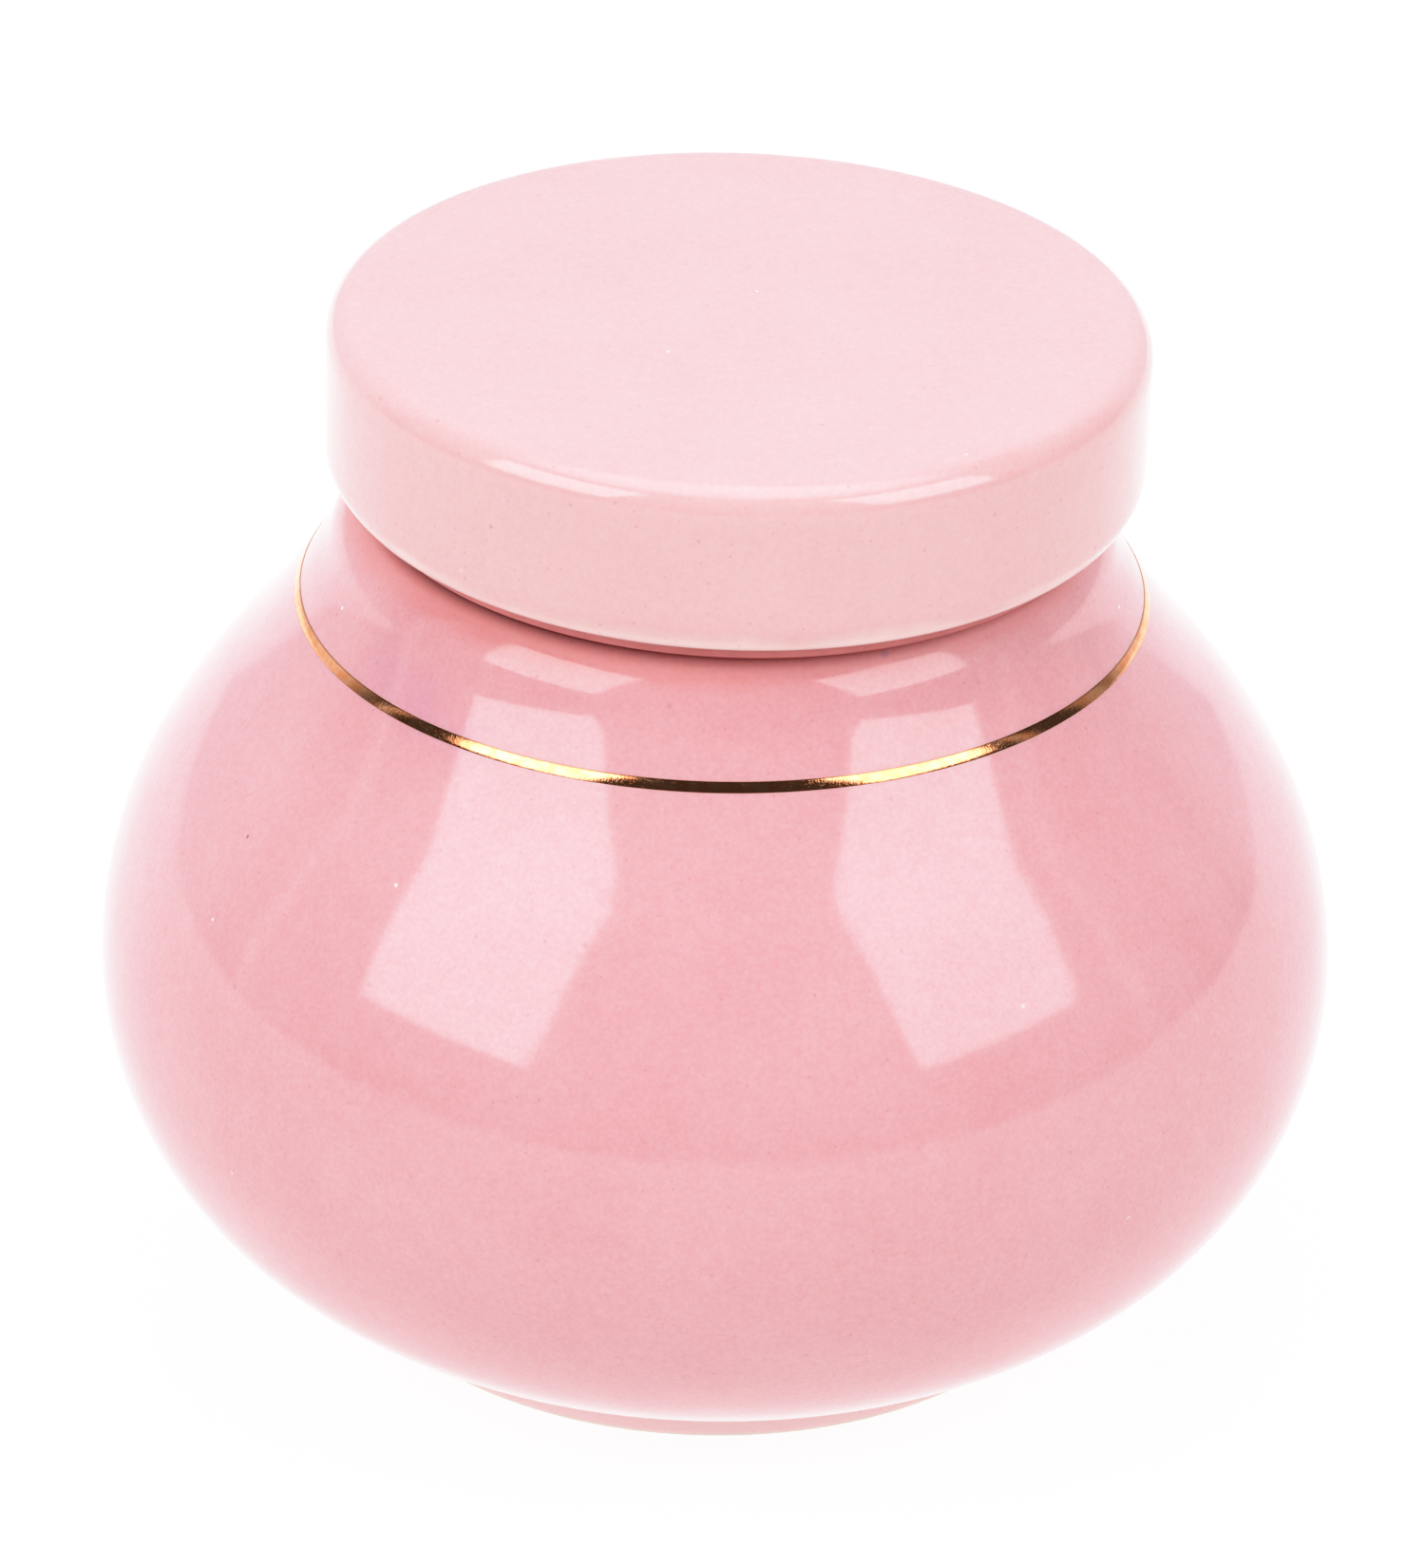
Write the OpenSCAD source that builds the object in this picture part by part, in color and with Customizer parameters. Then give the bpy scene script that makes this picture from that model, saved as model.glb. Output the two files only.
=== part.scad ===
// Round-bellied ceramic powder jar with a lift-off disc lid, in millimetres.
// +Z is up. The origin is the centre of the foot ring, on the surface that the jar stands on.

/* [Belly] */
// Largest radius of the belly
belly_r = 50; // [48:0.5:55]
// Height of the largest radius above the table
belly_z = 28.6; // [27.5:0.1:30]
// Radius of the arc just below the largest radius
side_r = 26; // [24:0.5:28]
// Radius of the flatter arc that runs under the belly to the foot
under_r = 50; // [46:1:54]
// Radius of the arc just above the largest radius
over_r = 32.5; // [31:0.5:34]
// Radius of the flatter arc over the shoulder
shoulder_r = 58.4; // [56:0.2:60]
// Thickness of the fired clay wall
wall = 4.8; // [4.2:0.1:5]

/* [Neck and rim] */
// Radius of the long hollow curve that the shoulder turns into
flare_r = 60; // [56:1:64]
// Radius of the tight hollow curve below the rim
throat_r = 12; // [11:0.5:13]
// Radius of the rim's outer roll
roll_r = 6; // [5.5:0.1:6.5]
// Radius of the rim's crest
crest_r = 2; // [1.6:0.1:2.2]

/* [Foot] */
// Outer radius of the foot ring
foot_r = 30.5; // [29.5:0.1:30.8]
// Width of the ring that touches the table, with its rounded outer edge
foot_w = 4; // [3:0.1:6]
// Depth of the recess inside the foot ring
foot_recess = 1.8; // [1:0.1:2.5]
// Thickness of the floor between the recess and the inside
floor_t = 4.4; // [3.5:0.1:5]

/* [Gold band] */
// Width of the fired gold line
band_w = 0.9; // [0.5:0.05:2]
// How far the gold line stands proud of the glaze
band_t = 0.12; // [0.05:0.01:0.2]
// How far the gold line is sunk into the glaze
band_sunk = 0.03; // [0.02:0.01:0.05]

/* [Lid] */
// Radius of the disc
lid_r = 32.4; // [31.5:0.1:34]
// Thickness of the disc
lid_h = 14.3; // [11:0.1:16]
// Radius of the disc's lower edge
lid_low_edge = 3; // [1:0.1:4]
// Radius of the disc's upper edge
lid_top_edge = 2.4; // [1:0.1:4]
// Depth of the plug ring below the disc
plug_depth = 8.5; // [8:0.1:9.5]
// Gap between the rim's crest and the disc, which the seal's flange takes up
lid_gap = 1.6; // [1.5:0.05:2.5]
// How far the disc sits off the jar's axis
lid_shift = 0.8; // [0:0.1:0.9]
// How far the disc leans on its seal, in degrees
lid_lean = 0.9; // [0:0.1:0.9]

/* [Seal] */
// Thickness of the seal's flange
flange_t = 1; // [0.8:0.05:1.1]
// Height of one sealing rib
rib_h = 1; // [0.6:0.1:1.2]
// Running clearance between the seal and the lid
seal_gap = 0.08; // [0.05:0.01:0.1]

/* [Hidden] */
$fn = 180;

// Slopes where one arc hands over to the next, in degrees from the horizontal normal
side_end = 52;
under_end = 63;
over_end = 29.4;
shoulder_end = 40.9;
flare_end = 29.4;
throat_end = 18;
roll_end = 50;

// Largest turn between two points of a broad arc, of the arc under the gold and of a tight arc, in degrees
broad_step = 4;
fine_step = 1;
tight_step = 15;

// Point on a circle, and the points along an arc after its first one
function along(centre, r, a) = centre + r * [cos(a), sin(a)];
function arc(centre, r, a0, a1, step = broad_step) =
    let (n = ceil(abs(a1 - a0) / step)) [for (i = [1:n]) along(centre, r, a0 + (a1 - a0) * i / n)];

// Arc centres: each lies on the last arc's end normal, so neighbouring arcs are tangent
side_c = [belly_r - side_r, belly_z];
under_c = along(side_c, side_r - under_r, -side_end);
over_c = [belly_r - over_r, belly_z];
shoulder_c = along(over_c, over_r - shoulder_r, over_end);
flare_c = along(shoulder_c, shoulder_r + flare_r, shoulder_end);
throat_c = along(flare_c, throat_r - flare_r, flare_end);
roll_c = along(throat_c, -throat_r - roll_r, throat_end);
crest_c = along(roll_c, roll_r - crest_r, roll_end);
bore_r = crest_c[0] - crest_r;
crest_z = crest_c[1] + crest_r;

// Foot and floor: the foot's rounded edge, and the height over which its side slopes in to the belly
foot_edge = 0.7;
foot_groove = 0.7;
recess_chamfer = 1.2;
floor_z = foot_recess + floor_t;
floor_end = asin((under_c[1] - floor_z) / (under_r - wall));

// Gold line, measured along the flare's arc
band_a = 32.5;
band_half = band_w / flare_r * 90 / PI;

// Lid, in its own frame with z = 0 at the disc's underside
lid_z = crest_z + lid_gap;
plug_room = 3.6;
plug_r = bore_r - plug_room;
plug_wall = 4;
lid_roof = 5;
bead_h = 1.4;
bead_out = 0.9;
bead_r = plug_r + bead_out;
bead_edge = 0.5;

// Seal, in the lid's frame
skirt_wall = 1.4;
mouth_gap = 1.05;
flange_over = 1.4;
bead_gap = 0.3;
rib_drops = [2.6, 4.4];
seal_in = plug_r + seal_gap;
skirt_r = seal_in + skirt_wall;
rib_r = bore_r - mouth_gap;
flange_r = crest_c[0] + flange_over;
skirt_low = bead_h + bead_gap - plug_depth;
rib_zs = [for (drop = rib_drops) -flange_t - drop];

// Outside of the jar, from the foot up to the rim and over its crest into the mouth
function jar_outside() = concat(
    [[foot_r - foot_edge, 0]],
    arc([foot_r - foot_edge, foot_edge], foot_edge, -90, 0, tight_step),
    [[foot_r, along(under_c, under_r, -under_end)[1] - foot_groove]],
    [along(under_c, under_r, -under_end)],
    arc(under_c, under_r, -under_end, -side_end),
    arc(side_c, side_r, -side_end, 0),
    arc(over_c, over_r, 0, over_end),
    arc(shoulder_c, shoulder_r, over_end, shoulder_end),
    arc(flare_c, -flare_r, shoulder_end, flare_end, fine_step),
    arc(throat_c, -throat_r, flare_end, throat_end),
    arc(roll_c, roll_r, throat_end, roll_end, tight_step / 2),
    arc(crest_c, crest_r, roll_end, 180, tight_step)
);

// Inside of the jar, one wall's thickness in, from the mouth down to the middle of the floor
function jar_inside() =
    let (waist = along(flare_c, -flare_r - wall, flare_end))
    concat(
        [[bore_r, waist[1] + (waist[0] - bore_r) / tan(flare_end)]],
        [waist],
        arc(flare_c, -flare_r - wall, flare_end, shoulder_end),
        arc(shoulder_c, shoulder_r - wall, shoulder_end, over_end),
        arc(over_c, over_r - wall, over_end, 0),
        arc(side_c, side_r - wall, 0, -side_end),
        arc(under_c, under_r - wall, -side_end, -floor_end),
        [[0, floor_z]]
    );

// Recess inside the foot ring, from its middle out to the table
function jar_underside() = [
    [0, foot_recess],
    [foot_r - foot_w - recess_chamfer, foot_recess],
    [foot_r - foot_w, 0]
];

// Hollow glazed jar: belly, flared neck, rolled rim and foot ring in one fired piece
module jar_body() {
    color("#f3b4be") rotate_extrude() polygon(concat(jar_outside(), jar_inside(), jar_underside()));
}

// Gold line, fused into the glaze where the neck begins to flare
module gold_band() {
    low = band_a + band_half;
    high = band_a - band_half;
    outer = [for (a = [low, band_a, high]) along(flare_c, band_t - flare_r, a)];
    inner = [for (a = [high, band_a, low]) along(flare_c, -flare_r - band_sunk, a)];
    color("#c99a4a") rotate_extrude() polygon(concat(outer, inner));
}

// Puts a piece where the lid sits: off the jar's axis and leaning a little
module on_lid() {
    translate([lid_shift, 0, lid_z]) rotate([0, lid_lean, 0]) children();
}

// Disc lid with a hollow plug ring underneath, and a bead that keeps the seal on
module lid() {
    hollow_r = plug_r - plug_wall;
    low = -plug_depth;
    outline = concat(
        [[hollow_r, lid_h - lid_roof], [hollow_r, low], [bead_r - bead_edge, low]],
        arc([bead_r - bead_edge, low + bead_edge], bead_edge, -90, 0, tight_step),
        [[bead_r, low + bead_h - bead_edge]],
        arc([bead_r - bead_edge, low + bead_h - bead_edge], bead_edge, 0, 90, tight_step),
        [[plug_r, low + bead_h], [plug_r, 0], [lid_r - lid_low_edge, 0]],
        arc([lid_r - lid_low_edge, lid_low_edge], lid_low_edge, -90, 0, tight_step),
        [[lid_r, lid_h - lid_top_edge]],
        arc([lid_r - lid_top_edge, lid_h - lid_top_edge], lid_top_edge, 0, 90, tight_step),
        [[0, lid_h], [0, lid_h - lid_roof]]
    );
    color("#f5cdd0") on_lid() rotate_extrude() polygon(outline);
}

// Soft ring that stretches over the plug: a flange between disc and rim, and a ribbed skirt
module seal_ring() {
    ribs = [for (z = rib_zs) for (p = [[skirt_r, rib_h], [rib_r, rib_h / 2], [skirt_r, 0]]) [p[0], z + p[1]]];
    flange_top = -seal_gap;
    flange_low = flange_top - flange_t;
    outline = concat(
        [[seal_in, flange_top], [flange_r, flange_top], [flange_r, flange_low], [skirt_r, flange_low]],
        ribs,
        [[skirt_r, skirt_low], [seal_in, skirt_low]]
    );
    color("#c97b78") on_lid() rotate_extrude() polygon(outline);
}

jar_body();
gold_band();
lid();
seal_ring();
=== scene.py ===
# Round-bellied ceramic powder jar with a lift-off disc lid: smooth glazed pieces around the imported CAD.
# Lengths are in millimetres, and mesh_of() turns them into metres; the studio below is in metres.
# Azimuth 0 faces -Y and grows towards +X.
import math

import bpy
from mathutils import Matrix, Vector


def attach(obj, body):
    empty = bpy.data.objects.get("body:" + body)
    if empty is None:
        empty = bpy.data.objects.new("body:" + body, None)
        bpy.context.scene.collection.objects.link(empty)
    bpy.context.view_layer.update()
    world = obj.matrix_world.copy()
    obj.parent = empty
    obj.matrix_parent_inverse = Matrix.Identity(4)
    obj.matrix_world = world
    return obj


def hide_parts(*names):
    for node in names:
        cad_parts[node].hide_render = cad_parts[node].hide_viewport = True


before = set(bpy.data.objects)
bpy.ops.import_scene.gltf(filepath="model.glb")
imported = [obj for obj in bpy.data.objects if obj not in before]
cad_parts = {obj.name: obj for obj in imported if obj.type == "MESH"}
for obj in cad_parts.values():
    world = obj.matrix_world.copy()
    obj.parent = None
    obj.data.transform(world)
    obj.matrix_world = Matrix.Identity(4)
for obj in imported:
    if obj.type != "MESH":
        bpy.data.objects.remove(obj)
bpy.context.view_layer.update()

MM = 0.001
SEGMENTS = 216
INSIDE = 0.9996  # keeps the round belly within the box of the faceted CAD one


# ---------------------------------------------------------------- outlines

def along(centre, r, a):
    """The point at angle a (degrees) on a circle in the r-z half-plane."""
    return (centre[0] + r * math.cos(math.radians(a)), centre[1] + r * math.sin(math.radians(a)))


def arc(centre, r, a0, a1, longest=0.5, widest=6.0):
    """Points of an arc after its first one, no further apart than longest mm or widest degrees."""
    turn = abs(a1 - a0)
    n = math.ceil(max(turn / widest, abs(r) * math.radians(turn) / longest, 1))
    return [along(centre, r, a0 + (a1 - a0) * i / n) for i in range(1, n + 1)]


def line(start, end, longest=0.6):
    """Points of a straight run after its first one."""
    n = math.ceil(max(math.dist(start, end) / longest, 1))
    step = ((end[0] - start[0]) / n, (end[1] - start[1]) / n)
    return [(start[0] + step[0] * i, start[1] + step[1] * i) for i in range(1, n + 1)]


def softened(corners, closed):
    """Points of a polygon whose corners (r, z, radius) are rounded."""
    out = []
    count = len(corners)
    for i, (x, y, radius) in enumerate(corners):
        p = Vector((x, y))
        if radius == 0 or (not closed and i in (0, count - 1)):
            out.append([(x, y)])
            continue
        to_last = (Vector(corners[i - 1][:2]) - p).normalized()
        to_next = (Vector(corners[(i + 1) % count][:2]) - p).normalized()
        half = to_last.angle(to_next) / 2
        reach = radius / math.tan(half)
        centre = p + (to_last + to_next).normalized() * (radius / math.sin(half))
        first, last = p + to_last * reach - centre, p + to_next * reach - centre
        a0 = math.degrees(math.atan2(first.y, first.x))
        turn = (math.degrees(math.atan2(last.y, last.x)) - a0 + 180) % 360 - 180
        out.append([tuple(p + to_last * reach)] + arc(centre, radius, a0, a0 + turn, widest=15))
    points = list(out[0])
    for run in out[1:] + ([out[0]] if closed else []):
        points += line(points[-1], run[0])
        points += run[1:]
    return points[len(out[0]):] if closed else points


# The shape's driving values, with the names they have in part.scad
BELLY_R, BELLY_Z, SIDE_R, UNDER_R, OVER_R, SHOULDER_R = 50, 28.6, 26, 50, 32.5, 58.4
WALL, FLARE_R, THROAT_R, ROLL_R, CREST_R = 4.8, 60, 12, 6, 2
SIDE_END, UNDER_END, OVER_END, SHOULDER_END = 52, 63, 29.4, 40.9
FLARE_END, THROAT_END, ROLL_END = 29.4, 18, 50
FOOT_R, FOOT_W, FOOT_RECESS, FLOOR_T = 30.5, 4, 1.8, 4.4
FOOT_EDGE, FOOT_GROOVE, RECESS_CHAMFER = 0.7, 0.7, 1.2
BAND_A, BAND_W = 32.5, 0.9
LID_R, LID_H, LID_LOW_EDGE, LID_TOP_EDGE = 32.4, 14.3, 3, 2.4
LID_GAP, LID_SHIFT, LID_LEAN, LID_ROOF = 1.6, 0.8, 0.9, 5
PLUG_DEPTH, PLUG_ROOM, PLUG_WALL, BEAD_H, BEAD_OUT, BEAD_GAP = 8.5, 3.6, 4, 1.4, 0.9, 0.3
FLANGE_T, FLANGE_OVER, SKIRT_WALL, MOUTH_GAP, SEAL_GAP = 1, 1.4, 1.4, 1.05, 0.08
RIB_H, RIB_DROPS = 1, (2.6, 4.4)

# What follows from them
side_c = (BELLY_R - SIDE_R, BELLY_Z)
under_c = along(side_c, SIDE_R - UNDER_R, -SIDE_END)
over_c = (BELLY_R - OVER_R, BELLY_Z)
shoulder_c = along(over_c, OVER_R - SHOULDER_R, OVER_END)
flare_c = along(shoulder_c, SHOULDER_R + FLARE_R, SHOULDER_END)
throat_c = along(flare_c, THROAT_R - FLARE_R, FLARE_END)
roll_c = along(throat_c, -THROAT_R - ROLL_R, THROAT_END)
crest_c = along(roll_c, ROLL_R - CREST_R, ROLL_END)
bore_r = crest_c[0] - CREST_R
crest_z = crest_c[1] + CREST_R
floor_z = FOOT_RECESS + FLOOR_T
plug_r = bore_r - PLUG_ROOM
bead_r = plug_r + BEAD_OUT
seal_in = plug_r + SEAL_GAP
skirt_r = seal_in + SKIRT_WALL
rib_r = bore_r - MOUTH_GAP
flange_r = crest_c[0] + FLANGE_OVER
skirt_low = BEAD_H + BEAD_GAP - PLUG_DEPTH
half_angle = math.degrees(BAND_W / FLARE_R) / 2
lid_place = Vector((LID_SHIFT, 0, crest_z + LID_GAP))
lid_turn = Vector((0, math.radians(LID_LEAN), 0))
on_lid = Matrix.Translation(lid_place) @ Matrix.Rotation(lid_turn.y, 4, "Y")


def jar_outline():
    """Underside, outside, rim and inside of the jar, from the axis round to the axis."""
    in_r = FOOT_R - FOOT_W
    underside = softened([
        (0, FOOT_RECESS, 0),
        (in_r - RECESS_CHAMFER, FOOT_RECESS, 1.0),
        (in_r, 0, 0.25),
        (FOOT_R - FOOT_EDGE, 0, 0),
    ], closed=False)
    low = along(under_c, UNDER_R, -UNDER_END)
    foot_side = softened([
        (FOOT_R, FOOT_EDGE, 0),
        (FOOT_R, low[1] - FOOT_GROOVE, 0.3),
        (*low, 0.25),
        (*along(under_c, UNDER_R, -UNDER_END + 1), 0),
    ], closed=False)
    outside = (
        underside
        + arc((FOOT_R - FOOT_EDGE, FOOT_EDGE), FOOT_EDGE, -90, 0)
        + foot_side[1:]
        + arc(under_c, UNDER_R, -UNDER_END + 1, -SIDE_END)
        + arc(side_c, SIDE_R, -SIDE_END, 0)
        + arc(over_c, OVER_R, 0, OVER_END)
        + arc(shoulder_c, SHOULDER_R, OVER_END, SHOULDER_END)
        + arc(flare_c, -FLARE_R, SHOULDER_END, FLARE_END)
        + arc(throat_c, -THROAT_R, FLARE_END, THROAT_END)
        + arc(roll_c, ROLL_R, THROAT_END, ROLL_END, 0.3)
        + arc(crest_c, CREST_R, ROLL_END, 180, 0.2)
    )
    waist = along(flare_c, -FLARE_R - WALL, FLARE_END)
    floor_end = math.degrees(math.asin((under_c[1] - floor_z) / (UNDER_R - WALL)))
    throat_low = waist[1] + (waist[0] - bore_r) / math.tan(math.radians(FLARE_END))
    throat = softened([(*outside[-1], 0), (bore_r, throat_low, 3), (*waist, 0)], closed=False)
    well_end = -floor_end + 5
    well = softened([
        (*along(under_c, UNDER_R - WALL, well_end), 0),
        (*along(under_c, UNDER_R - WALL, -floor_end), 4),
        (0, floor_z, 0),
    ], closed=False)
    inside = (
        throat[1:]
        + arc(flare_c, -FLARE_R - WALL, FLARE_END, SHOULDER_END, 1)
        + arc(shoulder_c, SHOULDER_R - WALL, SHOULDER_END, OVER_END, 1)
        + arc(over_c, OVER_R - WALL, OVER_END, 0, 1)
        + arc(side_c, SIDE_R - WALL, 0, -SIDE_END, 1)
        + arc(under_c, UNDER_R - WALL, -SIDE_END, well_end, 1)
        + well[1:]
    )
    return outside + inside


def lid_outline():
    """Lid, from the axis inside its hollow, round the plug and the disc, back to the axis on top."""
    hollow_r, low = plug_r - PLUG_WALL, -PLUG_DEPTH
    return softened([
        (0, LID_H - LID_ROOF, 0),
        (hollow_r, LID_H - LID_ROOF, 2),
        (hollow_r, low, 0.8),
        (bead_r, low, 0.5),
        (bead_r, low + BEAD_H, 0.4),
        (plug_r, low + BEAD_H, 0.2),
        (plug_r, 0, 0.25),
        (LID_R, 0, LID_LOW_EDGE),
        (LID_R, LID_H, LID_TOP_EDGE),
        (0, LID_H, 0),
    ], closed=False)


def seal_outline():
    """Silicone ring in the lid's frame: a flange and a skirt with two ribs."""
    top, low = -SEAL_GAP, -SEAL_GAP - FLANGE_T
    corners = [(seal_in, top, 0.1), (flange_r, top, 0.3), (flange_r, low, 0.3), (skirt_r, low, 0.3)]
    for z in [-FLANGE_T - drop for drop in RIB_DROPS]:
        corners += [(skirt_r, z + RIB_H, 0.15), (rib_r, z + RIB_H / 2, 0.12), (skirt_r, z, 0.15)]
    return softened(corners + [(skirt_r, skirt_low, 0.3), (seal_in, skirt_low, 0.2)], closed=True)


# ---------------------------------------------------------------- meshes

def normals_of(points, closed):
    """Outward unit normals of an outline that runs anticlockwise in r-z, exact on arcs."""
    out = []
    count = len(points)
    for i, p in enumerate(points):
        before = Vector(p) - Vector(points[i - 1]) if i or closed else None
        after = Vector(points[(i + 1) % count]) - Vector(p) if i < count - 1 or closed else None
        if before is None or after is None:
            out.append((0.0, -1.0 if (after or before).x > 0 else 1.0))
            continue
        t = before.normalized() / before.length + after.normalized() / after.length
        t.normalize()
        out.append((t.y, -t.x))
    return out


def mesh_of(name, points, closed, place=None):
    """An object turned from an outline, in metres, with its own smooth normals."""
    place = place or Matrix.Identity(4)
    normals = normals_of(points, closed)
    verts, norms, rings = [], [], []
    for (r, z), (nr, nz) in zip(points, normals):
        parts = SEGMENTS if r > 1e-6 else 1
        rings.append(list(range(len(verts), len(verts) + parts)))
        for k in range(parts):
            a = 2 * math.pi * k / parts
            out = Vector((math.sin(a), -math.cos(a), 0)) if parts > 1 else Vector((0, 0, 0))
            verts.append(place @ (out * r * INSIDE + Vector((0, 0, z))) * MM)
            norms.append(place.to_3x3() @ (out * nr + Vector((0, 0, nz))))
    faces = []
    pairs = list(zip(rings, rings[1:])) + ([(rings[-1], rings[0])] if closed else [])
    for low, high in pairs:
        for k in range(SEGMENTS):
            n = (k + 1) % SEGMENTS
            if len(low) == 1:
                faces.append((low[0], high[n], high[k]))
            elif len(high) == 1:
                faces.append((low[k], low[n], high[0]))
            else:
                faces.append((low[k], low[n], high[n], high[k]))
    mesh = bpy.data.meshes.new(name)
    mesh.from_pydata(verts, [], faces)
    mesh.validate()
    mesh.shade_smooth()
    mesh.normals_split_custom_set_from_vertices(norms)
    obj = bpy.data.objects.new(name, mesh)
    bpy.context.scene.collection.objects.link(obj)
    return obj


# ---------------------------------------------------------------- materials

class Nodes:
    """A material's node tree, built by short calls. Sockets are passed as they are."""

    def __init__(self, name, place=(0, 0, 0), turn=(0, 0, 0)):
        self.material = bpy.data.materials.new(name)
        self.material.use_nodes = True
        self.tree = self.material.node_tree
        self.tree.nodes.clear()
        self.out = self.tree.nodes.new("ShaderNodeOutputMaterial")
        mm = self.vector("SCALE", self.add("ShaderNodeTexCoord").outputs["Object"], scale=1000.0)
        own = {"Vector": mm, "Location": place, "Rotation": turn}
        self.mm = self.add("ShaderNodeMapping", own, vector_type="TEXTURE").outputs[0]
        self.height = self.add("ShaderNodeSeparateXYZ", {0: self.mm}).outputs[2]

    def add(self, kind, inputs=None, **props):
        node = self.tree.nodes.new(kind)
        for key, value in props.items():
            setattr(node, key, value)
        for key, value in (inputs or {}).items():
            self.put(node.inputs[key], value)
        return node

    def put(self, socket, value):
        if isinstance(value, bpy.types.NodeSocket):
            self.tree.links.new(value, socket)
        else:
            socket.default_value = value

    def math(self, operation, a, b=0.0, c=0.0):
        return self.add("ShaderNodeMath", {0: a, 1: b, 2: c}, operation=operation).outputs[0]

    def vector(self, operation, a, b=None, scale=None):
        inputs = {0: a}
        if b is not None:
            inputs[1] = b
        if scale is not None:
            inputs["Scale"] = scale
        node = self.add("ShaderNodeVectorMath", inputs, operation=operation)
        return node.outputs["Value" if operation == "DISTANCE" else "Vector"]

    def ramp(self, value, low, high, to_low=0.0, to_high=1.0, smooth=True):
        kind = "SMOOTHSTEP" if smooth else "LINEAR"
        inputs = {0: value, 1: low, 2: high, 3: to_low, 4: to_high}
        return self.add("ShaderNodeMapRange", inputs, interpolation_type=kind).outputs[0]

    def noise(self, size, detail=2.0, rough=0.5, shift=0.0):
        """Noise in 0..1 whose features are about size mm across."""
        where = self.vector("ADD", self.mm, (shift, shift * 1.7, -shift))
        inputs = {"Vector": where, "Scale": 1.0 / size, "Detail": detail, "Roughness": rough}
        return self.add("ShaderNodeTexNoise", inputs).outputs["Fac"]

    def mix(self, factor, a, b):
        return self.add("ShaderNodeMix", {0: factor, 6: a, 7: b}, data_type="RGBA").outputs[2]

    def specks(self, cell, radius, share, shift=0.0):
        """Soft round dots of about radius mm: one in some of the cells of a cell-mm pattern."""
        where = self.vector("ADD", self.mm, (shift, -shift, shift * 0.6))
        cells = self.add("ShaderNodeTexVoronoi", {"Vector": where, "Scale": 1.0 / cell}, feature="F1")
        pick = self.add("ShaderNodeSeparateColor", {0: cells.outputs["Color"]})
        size = self.ramp(pick.outputs[1], 0, 1, 0.6 * radius / cell, 1.3 * radius / cell, smooth=False)
        near = self.math("DIVIDE", cells.outputs["Distance"], size)
        dot = self.ramp(near, 1.0, 0.45)
        kept = self.ramp(pick.outputs[0], share, share - 0.02)
        strength = self.ramp(pick.outputs[2], 0, 1, 0.5, 1.0)
        return self.math("MULTIPLY", self.math("MULTIPLY", dot, kept), strength)

    def spot(self, place, radius, soft=0.4):
        """One dot at a place given in mm."""
        away = self.math("DIVIDE", self.vector("DISTANCE", self.mm, place), radius)
        return self.ramp(away, 1.0, soft)

    def surface(self, inputs):
        """Ends the tree with one Principled shader."""
        bsdf = self.add("ShaderNodeBsdfPrincipled", inputs)
        self.put(self.out.inputs["Surface"], bsdf.outputs[0])

    def bump(self, height, strength, reach):
        """A bump from a height in 0..1 that stands for reach mm."""
        inputs = {"Height": height, "Strength": strength, "Distance": reach * MM}
        return self.add("ShaderNodeBump", inputs).outputs["Normal"]


def rgba(r, g, b):
    return (r, g, b, 1.0)


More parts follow.
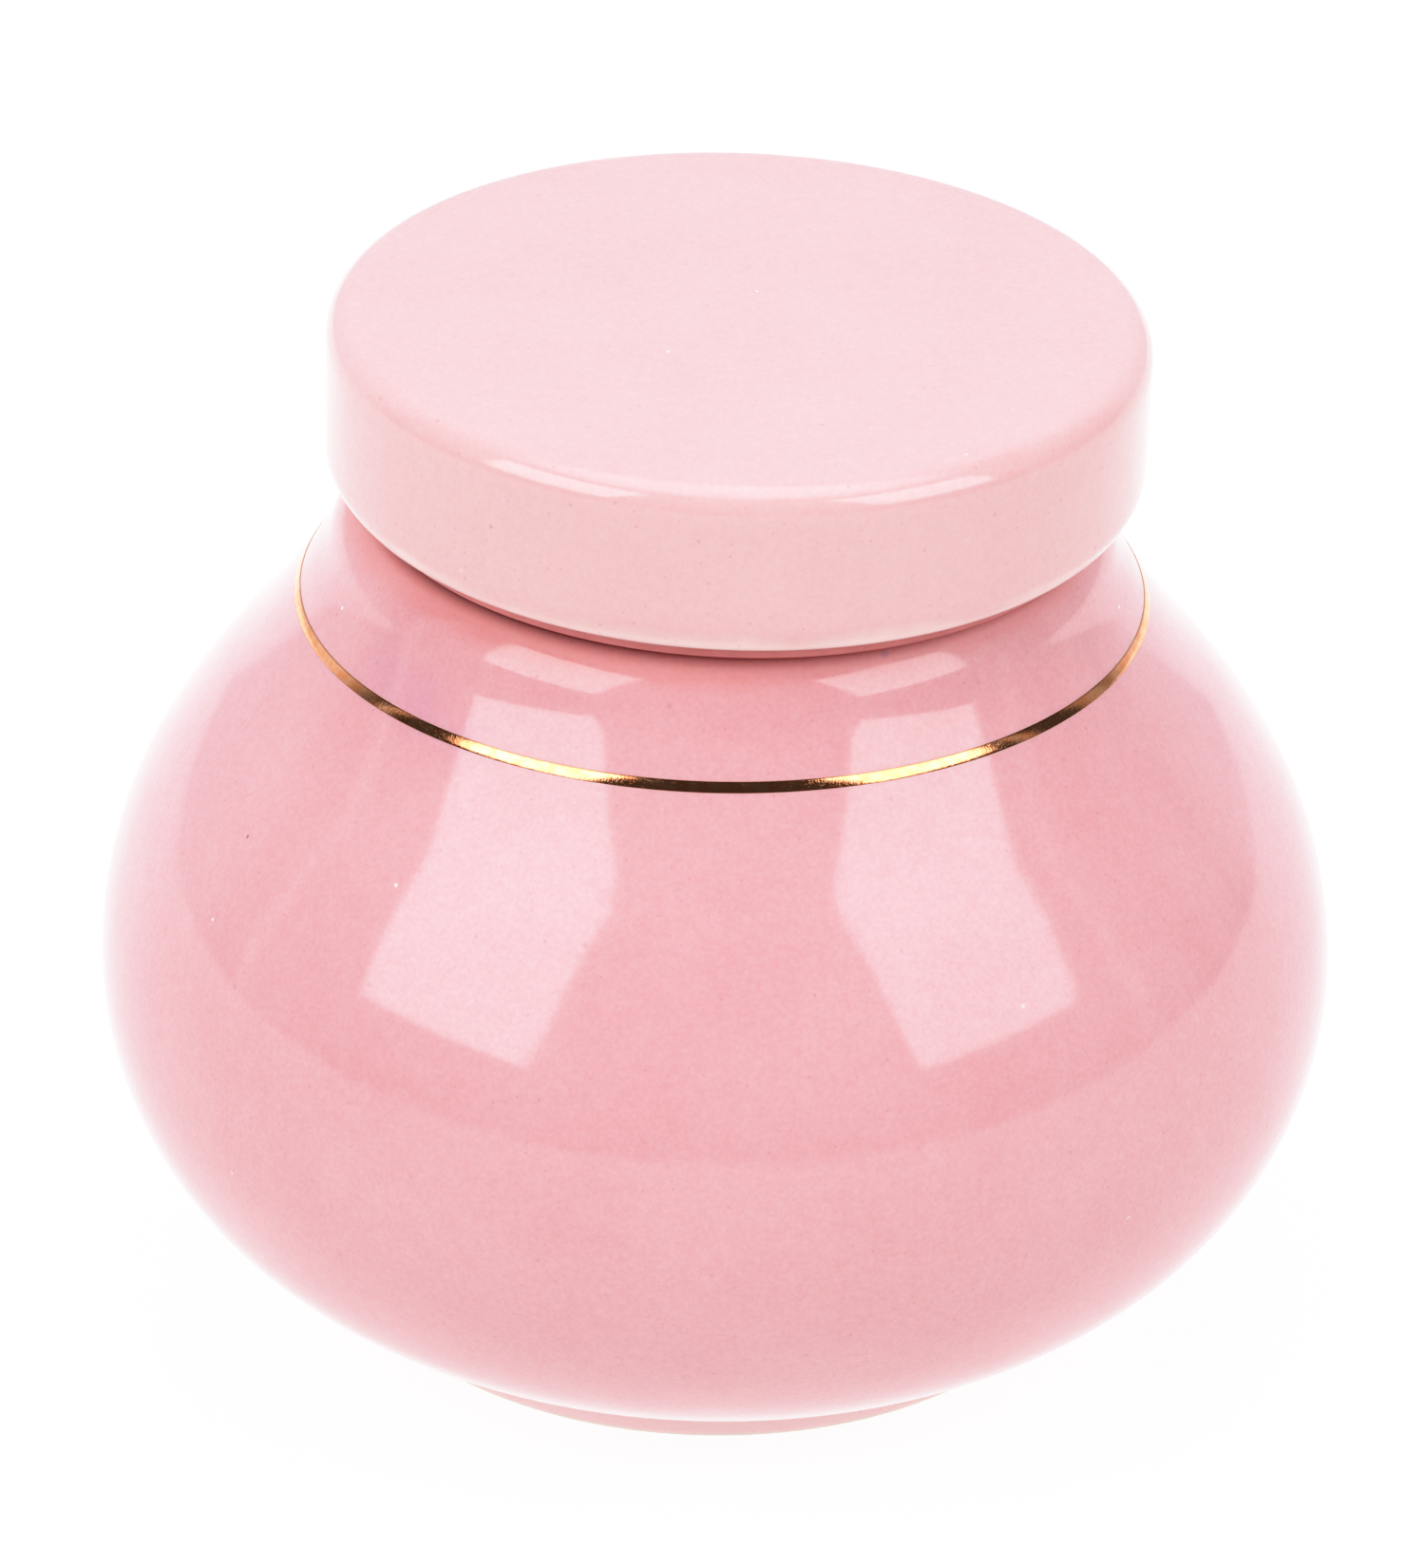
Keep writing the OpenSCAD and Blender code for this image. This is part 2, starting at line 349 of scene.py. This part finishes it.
def glaze(n, deep, pale, edge_z, marks=(), tints=(), zones=()):
    """Glossy ceramic glaze: cloudy colour, grain, iron specks and pinholes, with bare clay below edge_z.

    marks and tints are single dots and hazes, as (place, radius, colour, amount).
    zones shift the colour by height, as (start, full, colour, amount); the jar's are painted shade and
    painted light.
    """
    # Cloudy colour
    cloud = n.ramp(n.noise(14, 3, 0.55), 0.3, 0.7)
    blotch = n.ramp(n.noise(1.1, 3, 0.65, shift=31), 0.25, 0.75)
    grain = n.ramp(n.noise(0.36, 2, 0.6, shift=57), 0.25, 0.75)
    blend = n.math("MULTIPLY_ADD", blotch, 0.26, n.math("MULTIPLY", cloud, 0.28))
    blend = n.math("MULTIPLY_ADD", grain, 0.46, blend)
    colour = n.mix(blend, deep, pale)
    # Hazes, and colours by height with an uneven edge; on the jar the colours by height are painted shade
    # and painted light
    for place, radius, tint, amount in tints:
        haze = n.math("MULTIPLY", n.spot(place, radius, 0.0), amount)
        colour = n.mix(haze, colour, tint)
    uneven = n.math("MULTIPLY_ADD", n.noise(7, 3, 0.6, shift=67), 1.6, n.height)
    for start, full, tint, amount in zones:
        zone = n.ramp(uneven, start + 0.8, full + 0.8, 0, amount)
        colour = n.mix(zone, colour, tint)
    # Specks, single marks and pinholes
    fine = n.specks(0.8, 0.14, 0.5, shift=3)
    coarse = n.specks(3.4, 0.24, 0.5, shift=11)
    colour = n.mix(n.math("MULTIPLY", fine, 0.34), colour, rgba(0.42, 0.13, 0.16))
    colour = n.mix(n.math("MULTIPLY", coarse, 0.28), colour, rgba(0.35, 0.10, 0.13))
    pin = n.specks(7.5, 0.2, 0.55, shift=23)
    for place, radius, tint, amount in marks:
        dot = n.math("MULTIPLY", n.spot(place, radius), amount)
        colour = n.mix(dot, colour, tint)
    colour = n.mix(n.math("MULTIPLY", pin, 0.5), colour, rgba(0.86, 0.74, 0.72))
    # Gloss, and a surface that is barely uneven
    rough = n.ramp(n.noise(4, 3, 0.6, shift=7), 0.3, 0.7, 0.075, 0.11)
    swell = n.noise(6, 2, 0.5, shift=41)
    peel = n.noise(1.6, 2, 0.5, shift=43)
    height = n.math("MULTIPLY_ADD", peel, 0.22, swell)
    height = n.math("MULTIPLY_ADD", pin, -0.5, height)
    normal = n.bump(height, 1.0, 0.012)
    # Bare clay
    line_at = n.math("MULTIPLY_ADD", n.noise(5, 2, 0.6, shift=71), 0.5, edge_z - 0.25)
    bare = n.ramp(n.math("SUBTRACT", n.height, line_at), 0.1, -0.1)
    sand = n.mix(n.noise(0.5, 3, 0.6, shift=83), rgba(0.80, 0.70, 0.62), rgba(0.68, 0.59, 0.52))
    colour = n.mix(bare, colour, sand)
    rough = n.math("MULTIPLY_ADD", bare, 0.6, rough)
    n.surface({
        "Base Color": colour, "Roughness": rough, "IOR": 1.5, "Normal": normal,
        "Subsurface Weight": 0.3, "Subsurface Radius": (1.0, 0.3, 0.25), "Subsurface Scale": 1.6 * MM,
    })
    return n.material


def gold_lustre(n):
    """Bright fired gold, thin, a little grainy and browner where it thins out at its edges."""
    grain = n.noise(0.16, 2, 0.7, shift=5)
    worn = n.noise(1.1, 2, 0.6, shift=19)
    colour = n.mix(n.ramp(worn, 0.3, 0.7), rgba(0.92, 0.31, 0.12), rgba(0.96, 0.43, 0.22))
    low = along(flare_c, -FLARE_R, BAND_A + half_angle)[1]
    high = along(flare_c, -FLARE_R, BAND_A - half_angle)[1]
    ragged = n.math("MULTIPLY_ADD", n.noise(0.4, 2, 0.6, shift=9), 0.12, n.height)
    off_middle = n.math("ABSOLUTE", n.math("SUBTRACT", ragged, (low + high) / 2 + 0.06))
    outline = n.ramp(off_middle, (high - low) / 2 - 0.11, (high - low) / 2 - 0.03, 0, 0.75)
    colour = n.mix(outline, colour, rgba(0.34, 0.13, 0.06))
    rough = n.ramp(grain, 0.45, 0.8, 0.07, 0.26)
    normal = n.bump(grain, 1.0, 0.006)
    n.surface({"Base Color": colour, "Metallic": 1.0, "Roughness": rough, "Normal": normal})
    return n.material


def shade_red_silicone(n):
    """Soft silicone with a dull skin, in a dark red that is partly its own colour and partly painted
    shade, to pass for the shadow under the lid.
    """
    haze = n.ramp(n.noise(4, 3, 0.6, shift=13), 0.3, 0.7)
    dust = n.specks(0.9, 0.09, 0.5, shift=29)
    colour = n.mix(haze, rgba(0.50, 0.125, 0.12), rgba(0.58, 0.16, 0.155))
    colour = n.mix(n.math("MULTIPLY", dust, 0.4), colour, rgba(0.72, 0.42, 0.40))
    rough = n.ramp(n.noise(0.7, 2, 0.6, shift=37), 0.3, 0.7, 0.42, 0.58)
    normal = n.bump(n.noise(0.35, 2, 0.6, shift=47), 1.0, 0.008)
    n.surface({"Base Color": colour, "Roughness": rough, "IOR": 1.41, "Normal": normal})
    return n.material


def pale_floor(n):
    """Plain white table that glows a little, as a back-lit one does."""
    colour = n.mix(n.noise(60, 2, 0.5), rgba(0.30, 0.30, 0.30), rgba(0.32, 0.32, 0.32))
    rough = n.ramp(n.noise(25, 2, 0.5, shift=3), 0.3, 0.7, 0.22, 0.26)
    n.surface({
        "Base Color": colour, "Roughness": rough,
        "Emission Color": rgba(1, 1, 1), "Emission Strength": 0.96,
    })
    return n.material


# ---------------------------------------------------------------- pieces

def ring_place(point, azimuth):
    """Millimetre place on a turned surface: (r, z) of its outline at an azimuth in degrees."""
    a = math.radians(azimuth)
    return (point[0] * math.sin(a), -point[0] * math.cos(a), point[1])


pink_deep, pink_pale = rgba(0.625, 0.274, 0.296), rgba(0.70, 0.362, 0.386)
lid_deep, lid_pale = rgba(0.68, 0.372, 0.376), rgba(0.74, 0.427, 0.433)
iron, violet, milk = rgba(0.20, 0.06, 0.07), rgba(0.42, 0.22, 0.36), rgba(0.92, 0.86, 0.84)
jar_marks = [
    (ring_place((42.67, 49.53), -59.0), 0.21, iron, 0.75),
    (ring_place((40.65, 8.63), 12.6), 0.26, iron, 0.8),
    (ring_place((29.2, 68.98), 25.2), 0.42, violet, 0.6),
    (ring_place((31.91, 64.41), -68.4), 0.2, milk, 0.8),
    (ring_place((32.19, 63.9), 75.8), 0.2, milk, 0.8),
    (ring_place((46.33, 43.6), -57.8), 0.17, milk, 0.7),
    (ring_place((41.09, 51.66), -36.6), 0.2, milk, 0.7),
]
jar_tints = [
    (ring_place((32.6, 63.2), -53), 4.5, violet, 0.22),
    (ring_place((33.1, 62.3), -44), 4.5, violet, 0.26),
    (ring_place((33.8, 61.2), -36), 3.5, violet, 0.18),
]
# Colours by height on the jar, all of them painted shade or painted light
jar_painted_shade_and_light = [
    # Painted shade: a deeper, warmer red on the neck just under the lid, where the lid's shadow falls
    (67.2, 69.2, rgba(0.76, 0.22, 0.19), 0.42),
    # Painted light: paler glaze towards the bottom of the belly, standing in for the bright table
    # mirrored there
    (12.0, 5.0, rgba(0.90, 0.66, 0.66), 0.8),
    # Painted light: a paler foot, which lifts the shade that the belly's overhang casts on it
    (3.1, 2.7, rgba(0.93, 0.63, 0.64), 0.95),
]
jar_edge_z = 0.45
lid_marks = [
    (ring_place((3.8, 14.3), 161), 0.16, milk, 0.8),
    (ring_place((32.4, 7.98), -34.8), 0.22, rgba(0.35, 0.24, 0.24), 0.6),
]
lid_zones = [(2.6, 0.6, rgba(0.96, 0.87, 0.82), 0.7)]
lid_edge_z = 0.2 - PLUG_DEPTH

jar = mesh_of("jar_shell", jar_outline(), closed=False)
jar.data.materials.append(glaze(
    Nodes("pink_glaze"), pink_deep, pink_pale, jar_edge_z,
    marks=jar_marks, tints=jar_tints, zones=jar_painted_shade_and_light,
))
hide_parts("jar_body")
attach(jar, "jar")

# The gold stands 0.04 mm proud at its edges and 0.05 mm in its middle, and its underside is 0.02 mm deep
band_points = softened([
    (*along(flare_c, -FLARE_R - 0.02, BAND_A + half_angle), 0),
    (*along(flare_c, 0.04 - FLARE_R, BAND_A + half_angle), 0.03),
    (*along(flare_c, 0.05 - FLARE_R, BAND_A), 0),
    (*along(flare_c, 0.04 - FLARE_R, BAND_A - half_angle), 0.03),
    (*along(flare_c, -FLARE_R - 0.02, BAND_A - half_angle), 0),
], closed=True)
gold = mesh_of("gold_line", band_points, closed=True)
gold.data.materials.append(gold_lustre(Nodes("gold_lustre")))
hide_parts("gold_band")
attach(gold, "jar")

lid = mesh_of("lid_disc", lid_outline(), closed=False, place=on_lid)
lid.data.materials.append(glaze(
    Nodes("lid_glaze", lid_place, lid_turn), lid_deep, lid_pale, lid_edge_z,
    marks=lid_marks, zones=lid_zones,
))
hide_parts("lid")
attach(lid, "lid")

seal = mesh_of("seal_gasket", seal_outline(), closed=True, place=on_lid)
# The gasket's dark red is partly painted shade: it stands in for the shadow under the lid.
seal.data.materials.append(shade_red_silicone(Nodes("silicone", lid_place, lid_turn)))
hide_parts("seal_ring")
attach(seal, "seal")


# ---------------------------------------------------------------- studio

def disc(name, radius, rings=24, parts=96):
    """A flat round table top, with its middle at the origin."""
    verts, faces = [(0, 0, 0)], []
    for i in range(1, rings + 1):
        r = radius * (i / rings) ** 1.5
        for k in range(parts):
            a = 2 * math.pi * k / parts
            verts.append((r * math.cos(a), r * math.sin(a), 0))
    for k in range(parts):
        faces.append((0, 1 + k, 1 + (k + 1) % parts))
        for i in range(rings - 1):
            a, b = 1 + i * parts, 1 + (i + 1) * parts
            faces.append((a + k, b + k, b + (k + 1) % parts, a + (k + 1) % parts))
    mesh = bpy.data.meshes.new(name)
    mesh.from_pydata(verts, [], faces)
    obj = bpy.data.objects.new(name, mesh)
    bpy.context.scene.collection.objects.link(obj)
    return obj


table = disc("table_top", 1.4)
table.data.materials.append(pale_floor(Nodes("pale_floor")))


def softbox(name, azimuth, elevation, width, height, radiance, mirrored=True):
    """A soft light one metre from the jar's middle that faces it, with a highlight if it is mirrored."""
    a, e = math.radians(azimuth), math.radians(elevation)
    middle = Vector((0, 0, 0.04))
    towards = Vector((math.sin(a) * math.cos(e), -math.cos(a) * math.cos(e), math.sin(e)))
    up = Vector((-math.sin(a) * math.sin(e), math.cos(a) * math.sin(e), math.cos(e)))
    data = bpy.data.lights.new(name, "AREA")
    data.shape = "RECTANGLE"
    data.size, data.size_y = width, height
    data.energy = radiance * math.pi * width * height
    lamp = bpy.data.objects.new(name, data)
    bpy.context.scene.collection.objects.link(lamp)
    turn = Matrix((up.cross(towards), up, towards)).transposed().to_4x4()
    lamp.matrix_world = Matrix.Translation(middle + towards) @ turn
    lamp.visible_camera = False
    lamp.visible_glossy = mirrored


softbox("softbox_left", -52, 34.5, 0.63, 0.59, 4.4)
softbox("softbox_right", 55.5, 34.5, 0.60, 0.59, 4.1)
softbox("fill_left", -48, 50, 0.62, 0.45, 2.8, mirrored=False)
softbox("fill_right", 50, 50, 0.62, 0.45, 2.0, mirrored=False)
softbox("strip_left", -94, 20, 0.06, 0.9, 0.75)
softbox("strip_right", 84, 20, 0.06, 0.9, 0.6)
softbox("strip_far_right", 109, 20, 0.18, 0.9, 0.36)

world = bpy.data.worlds.new("studio")
world.use_nodes = True
bpy.context.scene.world = world
tree = world.node_tree
tree.nodes.clear()
where = tree.nodes.new("ShaderNodeTexCoord")
split = tree.nodes.new("ShaderNodeSeparateXYZ")
tree.links.new(where.outputs["Generated"], split.inputs[0])


def band_of(socket, low, high, dark, bright):
    """Strength that rises smoothly from dark to bright as the socket goes from low to high."""
    node = tree.nodes.new("ShaderNodeMapRange")
    node.interpolation_type = "SMOOTHSTEP"
    tree.links.new(socket, node.inputs[0])
    for i, value in enumerate((low, high, dark, bright)):
        node.inputs[i + 1].default_value = value
    return node.outputs[0]


lean = tree.nodes.new("ShaderNodeVectorMath")
lean.operation = "DOT_PRODUCT"
tree.links.new(where.outputs["Generated"], lean.inputs[0])
lean.inputs[1].default_value = (-0.12, 1.0, 0.0)
behind = band_of(lean.outputs["Value"], 0.26, 0.60, 0.05, 1.05)
above = band_of(split.outputs[2], 0.82, 0.96, 0.0, 3.1)
most = tree.nodes.new("ShaderNodeMath")
most.operation = "MAXIMUM"
tree.links.new(behind, most.inputs[0])
tree.links.new(above, most.inputs[1])
seen = tree.nodes.new("ShaderNodeLightPath")
pick = tree.nodes.new("ShaderNodeMix")
pick.data_type = "FLOAT"
tree.links.new(seen.outputs["Is Camera Ray"], pick.inputs[0])
tree.links.new(most.outputs[0], pick.inputs[2])
pick.inputs[3].default_value = 1.3
background = tree.nodes.new("ShaderNodeBackground")
background.inputs["Color"].default_value = (0.94, 0.98, 1.04, 1.0)
tree.links.new(pick.outputs[0], background.inputs["Strength"])
end = tree.nodes.new("ShaderNodeOutputWorld")
tree.links.new(background.outputs[0], end.inputs[0])

# Camera: 600 mm away, looking 28.6 degrees down, and turned a little about its own axis
elevation, roll, distance = math.radians(28.56), math.radians(1.15), 0.6
target = Vector((-0.00047, 0, 0.04305))
back = Vector((0, -math.cos(elevation), math.sin(elevation)))
level = Vector((0, math.sin(elevation), math.cos(elevation)))
right = Vector((1, 0, 0)) * math.cos(roll) + level * math.sin(roll)
up = level * math.cos(roll) - Vector((1, 0, 0)) * math.sin(roll)
lens = bpy.data.cameras.new("camera")
lens.sensor_width, lens.lens = 36, 170.45
lens.clip_start, lens.clip_end = 0.01, 20
camera = bpy.data.objects.new("camera", lens)
bpy.context.scene.collection.objects.link(camera)
camera_turn = Matrix((right, up, back)).transposed().to_4x4()
camera.matrix_world = Matrix.Translation(target + back * distance) @ camera_turn
bpy.context.scene.camera = camera
bpy.context.scene.view_settings.view_transform = "Standard"
bpy.context.scene.view_settings.look = "None"

# A gentle shoulder, so that bright pinks keep their hue and the table runs to white.
# Each pair is the light in the scene and the light that is shown.
WHITE = 1.5
TONES = (
    (0.15, 0.15), (0.3, 0.3), (0.45, 0.45), (0.6, 0.6),
    (0.75, 0.745), (0.9, 0.865), (1.15, 0.955), (1.3, 0.99),
)
bpy.context.scene.view_settings.use_curve_mapping = True
film = bpy.context.scene.view_settings.curve_mapping
film.white_level = (WHITE, WHITE, WHITE)
for scene_light, shown in TONES:
    film.curves[3].points.new(scene_light / WHITE, shown)
film.update()
